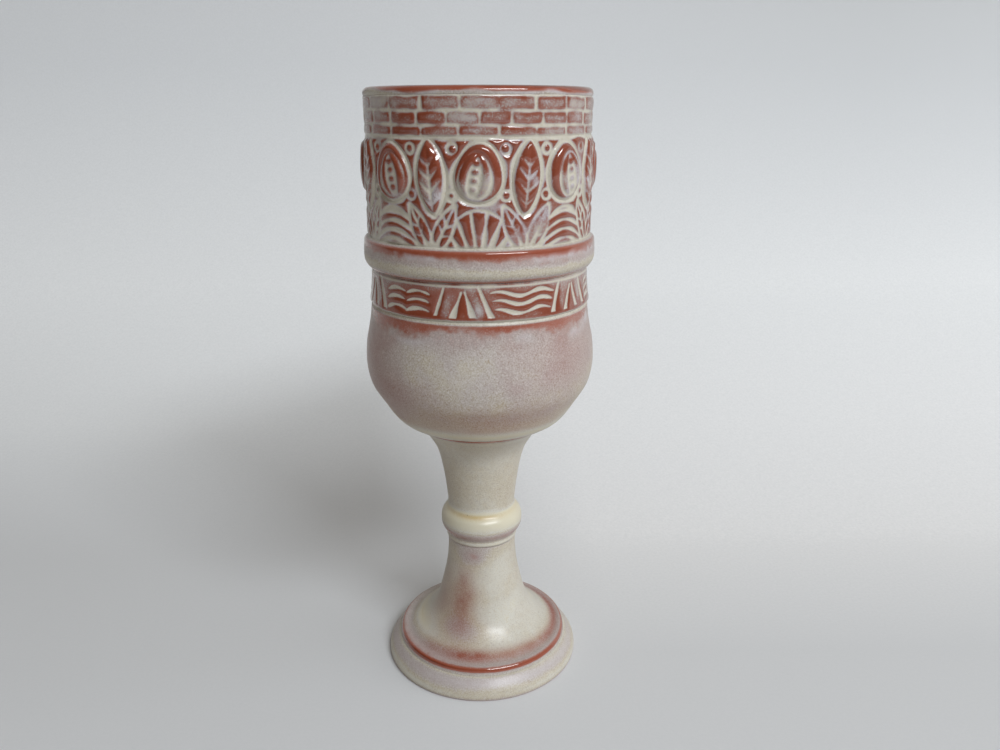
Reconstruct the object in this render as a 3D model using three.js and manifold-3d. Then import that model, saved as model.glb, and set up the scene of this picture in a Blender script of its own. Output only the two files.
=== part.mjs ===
// A ceramic chalice, built as a potter builds it: a thrown cup, pressed relief strips wrapped round its drum,
// a hollow stem with a knop, a bell-shaped pedestal and a foot plate, all joined leather-hard with slip.
// Millimetres, +Z up. The origin is the middle of the foot's underside, and the front faces -Y.
import * as THREE from "three";
import { mergeVertices } from "three/addons/utils/BufferGeometryUtils.js";
import Module from "manifold-3d";

// Clearances and slip
const SLIP_BED = 0.6; // slip between two stacked sections
const SLIP_RECESS = 0.9; // how far a slip bed stays back from the narrower section's edge
const SLIP_COAT = 0.3; // slip coat on the cup's drum, under the strips
const STRIP_GAP = 0.3; // open groove between neighbouring strips
const SPRIG_GAP = 0.3; // slip under a sprig
const SEAM_WIDTH = 0.5; // butt seam where a strip's two ends meet, at the back
const CUT_SPARE = 1; // how far a cut runs past the strip it cuts

// Foot plate
const FOOT_RADIUS = 39;
const FOOT_HEIGHT = 8.2;
const FOOT_EDGE = 0.8; // round at the floor
const BRIM_WIDTH = 5.3; // brim in front of the pedestal's step
const BRIM_FALL = 0.6; // how much lower the brim's shoulder starts than its inner edge
const FOOT_RING_WIDTH = 6.5; // flat ring that the chalice stands on
const FOOT_RECESS = 1.2; // depth of the glazed underside inside that ring
const BELL_RIM = 8.7; // bedding ring between the pedestal's step and the hollow under it

// Pedestal
const STEP_HEIGHT = 2.6;
const STEP_ROUND = 1.1;
const STEP_LIP = 3.8; // flat lip on top of the step
const DOME_RISE = 1.4; // rise of the dome's edge above the lip
const PEDESTAL_HEIGHT = 42.4;
const PEDESTAL_WALL = 5.3; // at the pedestal's neck

// Stem and knop
const STEM_BORE = 8;
const STEM_HEIGHT = 36;
const STEM_WALL = 5; // at the stem's waist
const STEM_HEAD_INSET = 1.7; // stem's head, inside the cup's base edge
const KNOP_HEIGHT = 12.8;
const KNOP_SWELL = 2.9; // knop's widest ring, outside its ends

// Cup
const CUP_BORE = 34.6;
const CUP_WALL = 2.6; // drum
const BOWL_WALL = 4.2; // bulb
const BOWL_FLOOR = 6;
const BOWL_HEIGHT = 46.6; // base to the shoulder that carries the strips
const BOWL_BASE_RADIUS = 27; // flat underside
const CONE_OUT = 3; // bowl's cone starts this far outside the base's edge
const CONE_UP = 1.6; // and this far above it
const CONE_REACH = 4.7; // cone ends this far inside the bulb's widest ring
const CONE_DROP = 14; // and this far below it
const BULB_SWELL = 5; // bulb's widest ring, outside the drum
const BULB_HEIGHT = 25.2; // widest ring, above the base
const BULB_BEND = 6; // reach of the curve's handles at the widest ring
const SHOULDER_TUCK = 0.4; // bowl's shoulder, inside the strip that sits on it
const LIP_HEIGHT = 2.6;

// Relief strips, from the shoulder up
const WAVE_HEIGHT = 12.3;
const WAVE_THICKNESS = 1.5;
const WAVE_FLARE = 0.9; // extra thickness at the strip's lower edge
const COLLAR_HEIGHT = 11;
const COLLAR_THICKNESS = 3.6;
const COLLAR_ROUND = 1.3;
const FRIEZE_HEIGHT = 33.6;
const FRIEZE_THICKNESS = 2;
const BRICK_THICKNESS = 1.7;
const LOW_COURSE = 2.85; // heights of the courses
const MIDDLE_COURSE = 3.5;
const TOP_COURSE = 3.75;
const LONG_BRICKS = 20; // bricks round a course
const SHORT_BRICKS = 24;
const COURSES = [
  { height: LOW_COURSE, bricks: LONG_BRICKS, shift: 0.5 },
  { height: MIDDLE_COURSE, bricks: SHORT_BRICKS, shift: 0 },
  { height: TOP_COURSE, bricks: LONG_BRICKS, shift: 0.5 },
];
const MORTAR_WIDTH = 0.95;
const MORTAR_DEPTH = 0.6;

// Sprigs: pressed pods and leaves, set in turn round the frieze
const SPRIG_PAIRS = 8;
const POD_WIDTH = 15;
const POD_HEIGHT = 18;
const POD_RISE = 1.4;
const POD_LEAN = 7; // degrees, to the left and right in turn
const POD_TOP_MARGIN = 1.6; // frieze's upper edge to the pod
const LEAF_WIDTH = 9.5;
const LEAF_HEIGHT = 23;
const LEAF_RISE = 1;
const LEAF_LEAN = 5; // degrees, to the left and right in turn
const LEAF_TOP_MARGIN = 0.6;
const SPRIG_EDGE = 0.5; // thickness at a sprig's rim
const SPRIG_FLATNESS = 3; // power that flattens a sprig's crown
const POD_TAPER = 0.18; // how much narrower a pod is above its middle
const LEAF_POINT = 0.6; // power that draws a leaf's ends to points

// Facets
const TURN_SEGMENTS = 48;
const CURVE_STEPS = 4;
const SPRIG_SPOKES = 16;
const SPRIG_RINGS = 3;
const WELD = 1e-4; // vertices this close are one

// Radii that follow from the cup's bore and the layers on it
const drumRadius = CUP_BORE + CUP_WALL;
const stripBore = drumRadius + SLIP_COAT;
const brickRadius = stripBore + BRICK_THICKNESS;
const friezeRadius = stripBore + FRIEZE_THICKNESS;
const collarRadius = stripBore + COLLAR_THICKNESS;
const waveRadius = stripBore + WAVE_THICKNESS;
const bulbRadius = drumRadius + BULB_SWELL;
const stemWaist = STEM_BORE + STEM_WALL;
const pedestalNeck = STEM_BORE + PEDESTAL_WALL;
const stemHead = BOWL_BASE_RADIUS - STEM_HEAD_INSET;
const stepRadius = FOOT_RADIUS - BRIM_WIDTH;
const domeRadius = stepRadius - STEP_LIP;
const bellRadius = stepRadius - BELL_RIM;

// Heights of the stack, from the floor up
const pedestalZ = FOOT_HEIGHT + SLIP_BED;
const pedestalTop = pedestalZ + PEDESTAL_HEIGHT;
const knopZ = pedestalTop + SLIP_BED;
const knopTop = knopZ + KNOP_HEIGHT;
const stemZ = knopTop + SLIP_BED;
const stemTop = stemZ + STEM_HEIGHT;
const cupZ = stemTop + SLIP_BED;
const shoulderZ = cupZ + BOWL_HEIGHT;
const waveZ = shoulderZ + STRIP_GAP;
const waveTop = waveZ + WAVE_HEIGHT;
const collarZ = waveTop + STRIP_GAP;
const collarTop = collarZ + COLLAR_HEIGHT;
const friezeZ = collarTop + STRIP_GAP;
const friezeTop = friezeZ + FRIEZE_HEIGHT;
const brickZ = friezeTop + STRIP_GAP;
const brickHeight = COURSES.reduce((sum, course) => sum + course.height, (COURSES.length - 1) * MORTAR_WIDTH);
const brickTop = brickZ + brickHeight;
const lipZ = brickTop + STRIP_GAP;
const rimZ = lipZ + LIP_HEIGHT;

const clay = new THREE.MeshStandardMaterial({ color: 0xa04a2e, roughness: 0.75, metalness: 0 });
const creamGlaze = new THREE.MeshStandardMaterial({ color: 0xc9c1ab, roughness: 0.35, metalness: 0 });
const reliefGlaze = new THREE.MeshStandardMaterial({ color: 0xb98a78, roughness: 0.3, metalness: 0 });

const wasm = await Module();
wasm.setup();

// A solid turned about Z from a profile of radius and height that keeps the clay on its left.
function turned(path) {
  const profile = path.getPoints(CURVE_STEPS);
  return new THREE.LatheGeometry(profile, TURN_SEGMENTS).rotateX(Math.PI / 2);
}

// A ring of rectangular section.
function turnedRing(inner, outer, low, high) {
  const path = new THREE.Path().moveTo(inner, low).lineTo(outer, low).lineTo(outer, high);
  return turned(path.lineTo(inner, high).lineTo(inner, low));
}

function solidFrom(geometry) {
  const bare = geometry.clone();
  bare.deleteAttribute("normal");
  bare.deleteAttribute("uv");
  const merged = mergeVertices(bare, WELD);
  const vertProperties = merged.attributes.position.array;
  const triVerts = new Uint32Array(merged.index.array);
  return new wasm.Manifold(new wasm.Mesh({ numProp: 3, vertProperties, triVerts }));
}

function geometryFrom(solid) {
  const { vertProperties, triVerts } = solid.getMesh();
  const geometry = new THREE.BufferGeometry();
  geometry.setAttribute("position", new THREE.BufferAttribute(vertProperties, 3));
  geometry.setIndex(new THREE.BufferAttribute(triVerts, 1));
  return geometry;
}

// A slot of the given width cut radially into the outside of a ring, at an angle from the back.
function radialSlot(width, inner, outer, low, high, angle) {
  const slot = new THREE.BoxGeometry(width, outer - inner, high - low);
  slot.translate(0, (inner + outer) / 2, (low + high) / 2);
  return solidFrom(slot.rotateZ(angle));
}

// A strip is a ring with an open butt seam at the back.
function strip(ring, outer, low, high) {
  const [bottom, top] = [low - CUT_SPARE, high + CUT_SPARE];
  const seam = radialSlot(SEAM_WIDTH, stripBore - CUT_SPARE, outer + CUT_SPARE, bottom, top, 0);
  return solidFrom(ring).subtract(seam);
}

function footPlate() {
  const ringInner = FOOT_RADIUS - FOOT_EDGE - FOOT_RING_WIDTH;
  const shoulder = FOOT_HEIGHT - BRIM_FALL;
  const path = new THREE.Path().moveTo(bellRadius, FOOT_RECESS).lineTo(ringInner - FOOT_RECESS, FOOT_RECESS);
  path.lineTo(ringInner, 0).lineTo(FOOT_RADIUS - FOOT_EDGE, 0);
  path.quadraticCurveTo(FOOT_RADIUS, 0, FOOT_RADIUS, FOOT_EDGE);
  path.lineTo(FOOT_RADIUS, shoulder / 2);
  path.quadraticCurveTo(FOOT_RADIUS, shoulder, FOOT_RADIUS - BRIM_WIDTH / 2, shoulder);
  path.lineTo(stepRadius, FOOT_HEIGHT).lineTo(bellRadius, FOOT_HEIGHT).lineTo(bellRadius, FOOT_RECESS);
  return turned(path);
}

function pedestal() {
  const stepTop = pedestalZ + STEP_HEIGHT;
  const domeZ = stepTop + DOME_RISE;
  const flareZ = (domeZ + pedestalTop) / 2;
  const path = new THREE.Path().moveTo(bellRadius, pedestalZ).lineTo(stepRadius, pedestalZ);
  path.lineTo(stepRadius, stepTop - STEP_ROUND);
  path.quadraticCurveTo(stepRadius, stepTop, stepRadius - STEP_ROUND, stepTop);
  path.lineTo(domeRadius, stepTop);
  const domeEdge = domeRadius - DOME_RISE;
  path.quadraticCurveTo(domeEdge, stepTop, domeEdge - DOME_RISE, domeZ);
  const flare = (domeRadius - pedestalNeck) / 4;
  const waist = pedestalNeck + flare / 3;
  path.bezierCurveTo(pedestalNeck + flare, domeZ + flare, waist, flareZ, pedestalNeck, pedestalTop);
  path.lineTo(STEM_BORE, pedestalTop).lineTo(STEM_BORE, flareZ);
  path.bezierCurveTo(STEM_BORE, domeZ + flare, STEM_BORE + flare, domeZ, bellRadius, pedestalZ);
  return turned(path);
}

function knop() {
  const swollen = Math.min(stemWaist, pedestalNeck) + KNOP_SWELL;
  const middle = (knopZ + knopTop) / 2;
  const path = new THREE.Path().moveTo(STEM_BORE, knopZ).lineTo(pedestalNeck, knopZ);
  path.quadraticCurveTo(swollen, knopZ + KNOP_HEIGHT / 6, swollen, middle);
  path.quadraticCurveTo(swollen, knopTop - KNOP_HEIGHT / 8, stemWaist, knopTop);
  path.lineTo(STEM_BORE, knopTop).lineTo(STEM_BORE, knopZ);
  return turned(path);
}

function upperStem() {
  const path = new THREE.Path().moveTo(STEM_BORE, stemZ).lineTo(stemWaist, stemZ);
  const flareZ = stemTop - STEM_HEIGHT / 4;
  const [low, high] = [stemWaist + STEM_WALL / 8, stemWaist + STEM_WALL / 2];
  path.bezierCurveTo(low, (stemZ + flareZ) / 2, high, flareZ, stemHead, stemTop);
  path.lineTo(STEM_BORE, stemTop).lineTo(STEM_BORE, stemZ);
  return turned(path);
}

function cup() {
  const shoulder = waveRadius + WAVE_FLARE - SHOULDER_TUCK;
  const bulbZ = cupZ + BULB_HEIGHT;
  const coneLow = new THREE.Vector2(BOWL_BASE_RADIUS + CONE_OUT, cupZ + CONE_UP);
  const coneHigh = new THREE.Vector2(bulbRadius - CONE_REACH, bulbZ - CONE_DROP);
  const bend = coneHigh.clone().sub(coneLow).setLength(BULB_BEND).add(coneHigh);
  const floorZ = cupZ + BOWL_FLOOR;
  const innerBulb = bulbRadius - BOWL_WALL;
  const lipMiddle = (CUP_BORE + brickRadius) / 2;
  const path = new THREE.Path().moveTo(0, cupZ).lineTo(BOWL_BASE_RADIUS, cupZ);
  path.quadraticCurveTo(BOWL_BASE_RADIUS + CONE_OUT / 2, cupZ, coneLow.x, coneLow.y);
  path.lineTo(coneHigh.x, coneHigh.y);
  path.bezierCurveTo(bend.x, bend.y, bulbRadius, bulbZ - BULB_BEND, bulbRadius, bulbZ);
  path.quadraticCurveTo(bulbRadius, bulbZ + BULB_BEND, shoulder, shoulderZ);
  path.lineTo(drumRadius, shoulderZ).lineTo(drumRadius, lipZ).lineTo(brickRadius, lipZ);
  path.quadraticCurveTo(brickRadius, rimZ, lipMiddle, rimZ);
  path.quadraticCurveTo(CUP_BORE, rimZ, CUP_BORE, lipZ);
  path.lineTo(CUP_BORE, waveTop);
  path.bezierCurveTo(CUP_BORE, shoulderZ, innerBulb, bulbZ + 2 * BULB_BEND, innerBulb, bulbZ);
  path.bezierCurveTo(innerBulb, floorZ + BULB_BEND, BOWL_BASE_RADIUS, floorZ, 0, floorZ);
  return turned(path);
}

function waveBand() {
  const path = new THREE.Path().moveTo(stripBore, waveZ).lineTo(waveRadius + WAVE_FLARE, waveZ);
  path.lineTo(waveRadius, waveTop).lineTo(stripBore, waveTop).lineTo(stripBore, waveZ);
  return geometryFrom(strip(turned(path), waveRadius + WAVE_FLARE, waveZ, waveTop));
}

function collarRing() {
  const path = new THREE.Path().moveTo(stripBore, collarZ).lineTo(collarRadius - COLLAR_ROUND, collarZ);
  path.quadraticCurveTo(collarRadius, collarZ, collarRadius, collarZ + 2 * COLLAR_ROUND);
  path.lineTo(collarRadius, collarTop - COLLAR_ROUND);
  path.quadraticCurveTo(collarRadius, collarTop, collarRadius - COLLAR_ROUND, collarTop);
  path.lineTo(stripBore, collarTop).lineTo(stripBore, collarZ);
  return turned(path);
}

function friezeBand() {
  const ring = turnedRing(stripBore, friezeRadius, friezeZ, friezeTop);
  return geometryFrom(strip(ring, friezeRadius, friezeZ, friezeTop));
}

// Courses of bricks: mortar grooves run round between the courses and cut across each course.
function brickBand() {
  const bed = brickRadius - MORTAR_DEPTH;
  const path = new THREE.Path().moveTo(stripBore, brickZ).lineTo(brickRadius, brickZ);
  const spans = [];
  let low = brickZ;
  for (const course of COURSES) {
    const high = low + course.height;
    spans.push({ ...course, low, high });
    path.lineTo(brickRadius, high);
    low = high + MORTAR_WIDTH;
    if (spans.length < COURSES.length) {
      path.lineTo(bed, high).lineTo(bed, low).lineTo(brickRadius, low);
    }
  }
  path.lineTo(stripBore, brickTop).lineTo(stripBore, brickZ);
  let band = strip(turned(path), brickRadius, brickZ, brickTop);
  for (const { bricks, shift, low: bottom, high: top } of spans) {
    const [from, to] = [bottom - MORTAR_WIDTH / 2, top + MORTAR_WIDTH / 2];
    for (let i = 0; i < bricks; i++) {
      const angle = ((i + shift) * 2 * Math.PI) / bricks;
      band = band.subtract(radialSlot(MORTAR_WIDTH, bed, brickRadius + CUT_SPARE, from, to, angle));
    }
  }
  return geometryFrom(band);
}

// A sprig is a low cushion on the frieze, with its rim given as shares of the half width and half height.
function sprig(width, height, rise, lean, outline) {
  const base = friezeRadius + SPRIG_GAP;
  const tilt = THREE.MathUtils.degToRad(lean);
  const vertices = [];
  const at = (share, spoke, lift) => {
    const [u, w] = outline((spoke * 2 * Math.PI) / SPRIG_SPOKES);
    const rim = new THREE.Vector2((u * width) / 2, (w * height) / 2).multiplyScalar(share);
    rim.rotateAround(new THREE.Vector2(), tilt);
    const angle = rim.x / base;
    const radius = base + lift;
    vertices.push(radius * Math.sin(angle), -radius * Math.cos(angle), rim.y);
  };
  const crown = (share) => SPRIG_EDGE + (rise - SPRIG_EDGE) * (1 - share ** SPRIG_FLATNESS);
  const index = [];
  const ringStart = (ring) => 1 + (ring - 1) * SPRIG_SPOKES;
  for (const [lift, outward] of [[crown, true], [() => 0, false]]) {
    const first = vertices.length / 3;
    at(0, 0, lift(0));
    for (let ring = 1; ring <= SPRIG_RINGS; ring++) {
      for (let spoke = 0; spoke < SPRIG_SPOKES; spoke++) {
        const share = ring / SPRIG_RINGS;
        at(share, spoke, lift(share));
      }
    }
    const face = (a, b, c) => index.push(first + a, first + (outward ? b : c), first + (outward ? c : b));
    for (let spoke = 0; spoke < SPRIG_SPOKES; spoke++) {
      const next = (spoke + 1) % SPRIG_SPOKES;
      face(0, ringStart(1) + next, ringStart(1) + spoke);
      for (let ring = 1; ring < SPRIG_RINGS; ring++) {
        const [near, far] = [ringStart(ring), ringStart(ring + 1)];
        face(near + spoke, near + next, far + next);
        face(near + spoke, far + next, far + spoke);
      }
    }
  }
  const underside = vertices.length / 6;
  const rim = ringStart(SPRIG_RINGS);
  for (let spoke = 0; spoke < SPRIG_SPOKES; spoke++) {
    const [a, b] = [rim + spoke, rim + ((spoke + 1) % SPRIG_SPOKES)];
    index.push(a, b, underside + b, a, underside + b, underside + a);
  }
  const geometry = new THREE.BufferGeometry();
  geometry.setAttribute("position", new THREE.Float32BufferAttribute(vertices, 3));
  return geometry.setIndex(index);
}

// Rims, with angle 0 at the top: an egg that is fuller below, and a leaf with two points.
const podOutline = (angle) => [Math.sin(angle) * (1 - POD_TAPER * Math.cos(angle)), Math.cos(angle)];
const leafOutline = (angle) => [Math.sin(angle) * Math.abs(Math.sin(angle)) ** LEAF_POINT, Math.cos(angle)];

const chalice = new THREE.Group();

function place(name, geometry, material, parent = chalice) {
  const mesh = new THREE.Mesh(geometry, material);
  mesh.name = name;
  parent.add(mesh);
  return mesh;
}

place("foot_plate", footPlate(), creamGlaze);
place("pedestal", pedestal(), creamGlaze);
place("knop_ring", knop(), creamGlaze);
place("upper_stem", upperStem(), creamGlaze);
place("cup", cup(), creamGlaze);
place("wave_band", waveBand(), reliefGlaze);
place("collar_ring", collarRing(), creamGlaze);
place("frieze_band", friezeBand(), reliefGlaze);
place("brick_band", brickBand(), reliefGlaze);

// Slip beds between the stacked sections, and the slip coat that carries the strips
const slipBed = (bore, section, low, high) => turnedRing(bore, section - SLIP_RECESS, low, high);
place("slip_bed_foot", slipBed(bellRadius, stepRadius, FOOT_HEIGHT, pedestalZ), clay);
place("slip_bed_knop", slipBed(STEM_BORE, pedestalNeck, pedestalTop, knopZ), clay);
place("slip_bed_stem", slipBed(STEM_BORE, stemWaist, knopTop, stemZ), clay);
place("slip_bed_cup", slipBed(STEM_BORE, stemHead, stemTop, cupZ), clay);
place("slip_coat_drum", turnedRing(drumRadius, stripBore, waveZ, brickTop), clay);

for (let i = 0; i < SPRIG_PAIRS; i++) {
  const turn = new THREE.Group();
  turn.rotation.z = (i * 2 * Math.PI) / SPRIG_PAIRS;
  chalice.add(turn);
  const side = i % 2 ? 1 : -1;
  const podShape = sprig(POD_WIDTH, POD_HEIGHT, POD_RISE, side * POD_LEAN, podOutline);
  const pod = place(`pod_sprig_${i + 1}`, podShape, reliefGlaze, turn);
  pod.position.z = friezeTop - POD_TOP_MARGIN - POD_HEIGHT / 2;
  const leafShape = sprig(LEAF_WIDTH, LEAF_HEIGHT, LEAF_RISE, side * LEAF_LEAN, leafOutline);
  const leaf = place(`leaf_sprig_${i + 1}`, leafShape, reliefGlaze, turn);
  leaf.rotation.z = Math.PI / SPRIG_PAIRS;
  leaf.position.z = friezeTop - LEAF_TOP_MARGIN - LEAF_HEIGHT / 2;
}

export default chalice;
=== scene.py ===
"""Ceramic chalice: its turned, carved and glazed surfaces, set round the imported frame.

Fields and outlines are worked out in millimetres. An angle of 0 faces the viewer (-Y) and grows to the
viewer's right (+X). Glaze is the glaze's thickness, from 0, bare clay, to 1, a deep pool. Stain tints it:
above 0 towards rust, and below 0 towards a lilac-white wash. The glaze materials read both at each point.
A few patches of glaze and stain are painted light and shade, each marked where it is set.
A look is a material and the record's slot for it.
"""
import math

import bpy
import numpy as np
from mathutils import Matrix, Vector


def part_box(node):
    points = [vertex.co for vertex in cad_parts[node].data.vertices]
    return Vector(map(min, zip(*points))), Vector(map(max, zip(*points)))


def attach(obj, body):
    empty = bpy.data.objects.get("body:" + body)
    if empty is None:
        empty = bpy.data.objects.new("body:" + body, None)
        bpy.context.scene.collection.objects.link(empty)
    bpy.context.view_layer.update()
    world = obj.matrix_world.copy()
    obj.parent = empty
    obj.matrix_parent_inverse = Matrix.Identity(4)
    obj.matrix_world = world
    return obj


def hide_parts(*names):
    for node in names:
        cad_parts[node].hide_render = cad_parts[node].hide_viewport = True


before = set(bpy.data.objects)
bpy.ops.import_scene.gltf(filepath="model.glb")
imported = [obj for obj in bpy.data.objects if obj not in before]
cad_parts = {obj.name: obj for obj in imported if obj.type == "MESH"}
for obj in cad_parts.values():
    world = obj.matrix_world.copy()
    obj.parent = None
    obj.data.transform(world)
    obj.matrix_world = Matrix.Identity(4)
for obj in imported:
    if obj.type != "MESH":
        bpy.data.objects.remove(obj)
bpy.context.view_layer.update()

MM = 0.001
TURN = 2.0 * math.pi
SHARP_TURN = math.radians(55.0)  # edges that turn more than this shade as edges
FAR = 10.0  # signed distance to start from, before any shape

# Resolution
AROUND = 840  # columns round the drum
CUP_AROUND = 420
PLAIN_AROUND = 300  # columns round the other turned pieces
ROW_STEP = 0.29  # between the drum's rows
TURNED_STEP = 0.5  # along a turned outline
FINE_STEP = 0.3  # along its small roundings
LONG_STEP = 100.0  # along runs that stay straight and unseen

# The drum, unrolled
DRUM_RADIUS = 39.5
GIRTH = TURN * DRUM_RADIUS
COLUMN_STEP = GIRTH / AROUND
BANDS = {  # radius of the face, width and depth of its lower and upper roll, radii of its two joints
    "wave_band": (38.9, (1.1, 0.8), (0.5, 0.2), None, 38.75),
    "collar_ring": (41.05, (4.2, 2.1), (1.6, 1.5), 38.75, 39.1),
    "frieze_band": (39.6, (1.0, 0.5), (0.6, 0.25), 39.1, 38.95),
    "brick_band": (39.25, (0.5, 0.12), (0.5, 0.2), 38.95, None),
}
BAND_BACK = 37.6  # inner face of the bands
BAND_GAP = 0.3  # between two bands of the CAD, which meet halfway across it here
JOINT_SPREAD = 0.4
SEAM_HALF = 0.45  # butt seam at the back
SEAM_DEPTH = 0.35
CLAY_SOFTNESS = 0.42  # blur of the carved clay
GLAZE_SOFTNESS = 0.28  # blur of the glaze on the bricks and the frieze
POOL_FILL = 0.34  # how much a deep pool of glaze fills a groove

# How glaze breaks: it thins on edges and gathers in hollows
NEAR_BREAK = (0.8, 0.85)  # blur and gain of the sharp break
FAR_BREAK = (2.5, 0.55)  # blur and gain of the wide break
FLOW = 1.9  # how far glaze runs down from an upper edge
SINK_GAIN = 0.28  # extra thickness per millimetre below the band's face
THINNEST = 0.09
THICKEST = 0.86
# partly a painted reflection: the pale room's sheen on the left, painted as paler glaze
LEFT_VEIL_AND_SHEEN = (-76.0, 16.0)  # more glaze at the drum's left: an angle and a spread in degrees
RIGHT_WEAR = (58.0, 26.0)  # less glaze at the frieze's right


def span(node):
    """Return the lowest and highest level of a CAD node, in millimetres."""
    low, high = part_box(node)
    return low.z / MM, high.z / MM


# Fields on a grid that wraps round

def smooth(low, high, value):
    part = np.clip((value - low) / (high - low), 0.0, 1.0)
    return part * part * (3.0 - 2.0 * part)


def hill(value, spread):
    """Return 1 where a value is 0, falling softly to 0 over the spread."""
    return np.exp(-(value / spread) ** 2)


def filtered(field, across, up):
    """Blur a field that wraps round, by spreads given in cells."""
    mirrored = np.concatenate([field[::-1], field, field[::-1]])
    rows, columns = mirrored.shape
    up_waves = np.fft.fftfreq(rows)[:, None] * up
    across_waves = np.fft.rfftfreq(columns)[None, :] * across
    damping = np.exp(-2.0 * math.pi ** 2 * (up_waves ** 2 + across_waves ** 2))
    blurred = np.fft.irfft2(np.fft.rfft2(mirrored) * damping, s=mirrored.shape)
    return blurred[len(field):2 * len(field)]


def mottle(shape, across, up, seed):
    """Return a smooth random field of unit spread that wraps round."""
    field = filtered(np.random.default_rng(seed).standard_normal(shape), across, up)
    return (field - field.mean()) / field.std()


def drum_blur(field, spread):
    return filtered(field, spread / COLUMN_STEP, spread / ROW_STEP)


def flecks(z, across, up, seed):
    """Return a mottle for the drum's levels, of spreads in millimetres."""
    return mottle((len(z), AROUND), across / COLUMN_STEP, up / ROW_STEP, seed)


def from_centre(across, centre):
    """Return the distance round the drum from a centre, the short way."""
    return (across - centre + GIRTH / 2) % GIRTH - GIRTH / 2


def raised(distance, edge):
    """Return 1 inside a shape and 0 outside, from its signed distance."""
    return 1.0 - smooth(-edge, edge, distance)


def along_line(u, v, start, end):
    """Return how far along a line each point lies, from 0 to 1, and its distance from the line."""
    du, dv = end[0] - start[0], end[1] - start[1]
    part = np.clip(((u - start[0]) * du + (v - start[1]) * dv) / (du * du + dv * dv), 0.0, 1.0)
    return part, np.hypot(u - start[0] - part * du, v - start[1] - part * dv)


def stroke(u, v, start, end, half_start, half_end):
    """Return the signed distance to a tapering stroke."""
    part, gap = along_line(u, v, start, end)
    return gap - half_start - (half_end - half_start) * part


def blade(u, v, start, end, half_width):
    """Return the signed distance to a pointed blade, widest below its middle."""
    part, gap = along_line(u, v, start, end)
    return gap - half_width * np.sin(math.pi * (0.2 + 0.8 * part)) ** 0.8


# Meshes

SHORT_NAMES = {"upper_stem": "stem", "knop_ring": "knop", "foot_plate": "foot", "collar_ring": "collar"}
SPRIG_TUCK = 0.2  # how far a sprig's border lies under the ground


def new_piece(node, look, points, faces, glaze, stain):
    """Make a mesh piece from points in millimetres, and set it in the frame."""
    material, slot_name = look
    name = "glazed_" + SHORT_NAMES.get(node, node)
    mesh = bpy.data.meshes.new(name)
    mesh.from_pydata((points * MM).tolist(), [], faces)
    for key, values in (("glaze", glaze), ("stain", stain)):
        mesh.attributes.new(key, "FLOAT", "POINT").data.foreach_set("value", values.astype(np.float32))
    mesh.polygons.foreach_set("use_smooth", np.ones(len(mesh.polygons), dtype=bool))
    mesh.materials.append(material)
    mesh.update()
    mesh.set_sharp_from_angle(angle=SHARP_TURN)
    piece = bpy.data.objects.new(name, mesh)
    bpy.context.scene.collection.objects.link(piece)
    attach(piece, "root")
    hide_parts(node)


def ring_points(radius, height):
    angle = (np.arange(radius.shape[1]) / radius.shape[1] - 0.5) * TURN
    level = np.broadcast_to(height, radius.shape)
    return np.stack([radius * np.sin(angle), -radius * np.cos(angle), level], axis=-1)


def ring_quads(rows, columns, closed):
    index = np.arange(rows * columns).reshape(rows, columns)
    upper = np.roll(index, -1, axis=0)
    if not closed:
        index, upper = index[:-1], upper[:-1]
    right, upper_right = np.roll(index, -1, axis=1), np.roll(upper, -1, axis=1)
    return np.stack([index, right, upper_right, upper], axis=-1)


def skin(node, look, radius, height, glaze, stain=0.0, closed=True):
    """Make a piece from rings of points. An open outline ends on the axis, and is closed there by fans."""
    rows, columns = radius.shape
    points = ring_points(radius, height)
    faces = ring_quads(rows, columns, closed).reshape(-1, 4).tolist()
    flat, values = points.reshape(-1, 3), glaze.reshape(-1)
    stains = np.broadcast_to(stain, radius.shape).reshape(-1)
    if not closed:
        last = (rows - 1) * columns
        flat = np.vstack([flat, points[0].mean(axis=0), points[-1].mean(axis=0)])
        values = np.append(values, [glaze[0].mean(), glaze[-1].mean()])
        stains = np.append(stains, [0.0, 0.0])
        for column in range(columns):
            beside = (column + 1) % columns
            faces.append([rows * columns, beside, column])
            faces.append([rows * columns + 1, last + column, last + beside])
    new_piece(node, look, flat, faces, values, stains)


def patch(node, look, mask, radius, height, glaze, stain):
    """Make a piece from the marked part of a ring grid, with its border tucked under the ground."""
    rows, columns = radius.shape
    beside = np.roll(mask, -1, axis=1)
    chosen = ring_quads(rows, columns, False)[mask[:-1] & mask[1:] & beside[:-1] & beside[1:]]
    used, index, count = np.unique(chosen, return_inverse=True, return_counts=True)
    lowered = radius.reshape(-1).copy()
    lowered[used[count < 4]] -= SPRIG_TUCK
    points = ring_points(lowered.reshape(rows, columns), height).reshape(-1, 3)[used]
    faces = index.reshape(-1, 4).tolist()
    new_piece(node, look, points, faces, glaze.reshape(-1)[used], stain.reshape(-1)[used])


# Shader nodes: a socket knows the node tree that it belongs to

def add_node(tree, kind, inputs, **settings):
    """Add a node with its settings. Each input is a value, or a socket to link."""
    made = tree.nodes.new("ShaderNode" + kind)
    for key, value in settings.items():
        setattr(made, key, value)
    for key, value in inputs.items():
        if isinstance(value, bpy.types.NodeSocket):
            tree.links.new(value, made.inputs[key])
        else:
            made.inputs[key].default_value = value
    return made


def maths(operation, first, second):
    made = add_node(first.id_data, "Math", {0: first, 1: second}, operation=operation)
    return made.outputs[0]


def times(product, *factors):
    for factor in factors:
        product = maths("MULTIPLY", product, factor)
    return product


def remap(value, low, high, to_low, to_high):
    inputs = {"Value": value, "From Min": low, "From Max": high, "To Min": to_low, "To Max": to_high}
    return add_node(value.id_data, "MapRange", inputs).outputs["Result"]


def noise(place, size, detail):
    """Return a noise value centred on 0, with grains of the given size in millimetres."""
    inputs = {"Vector": place, "Scale": 1.0 / (size * MM), "Detail": detail, "Roughness": 0.6}
    value = add_node(place.id_data, "TexNoise", inputs).outputs[0]
    return maths("SUBTRACT", value, 0.5)


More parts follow.
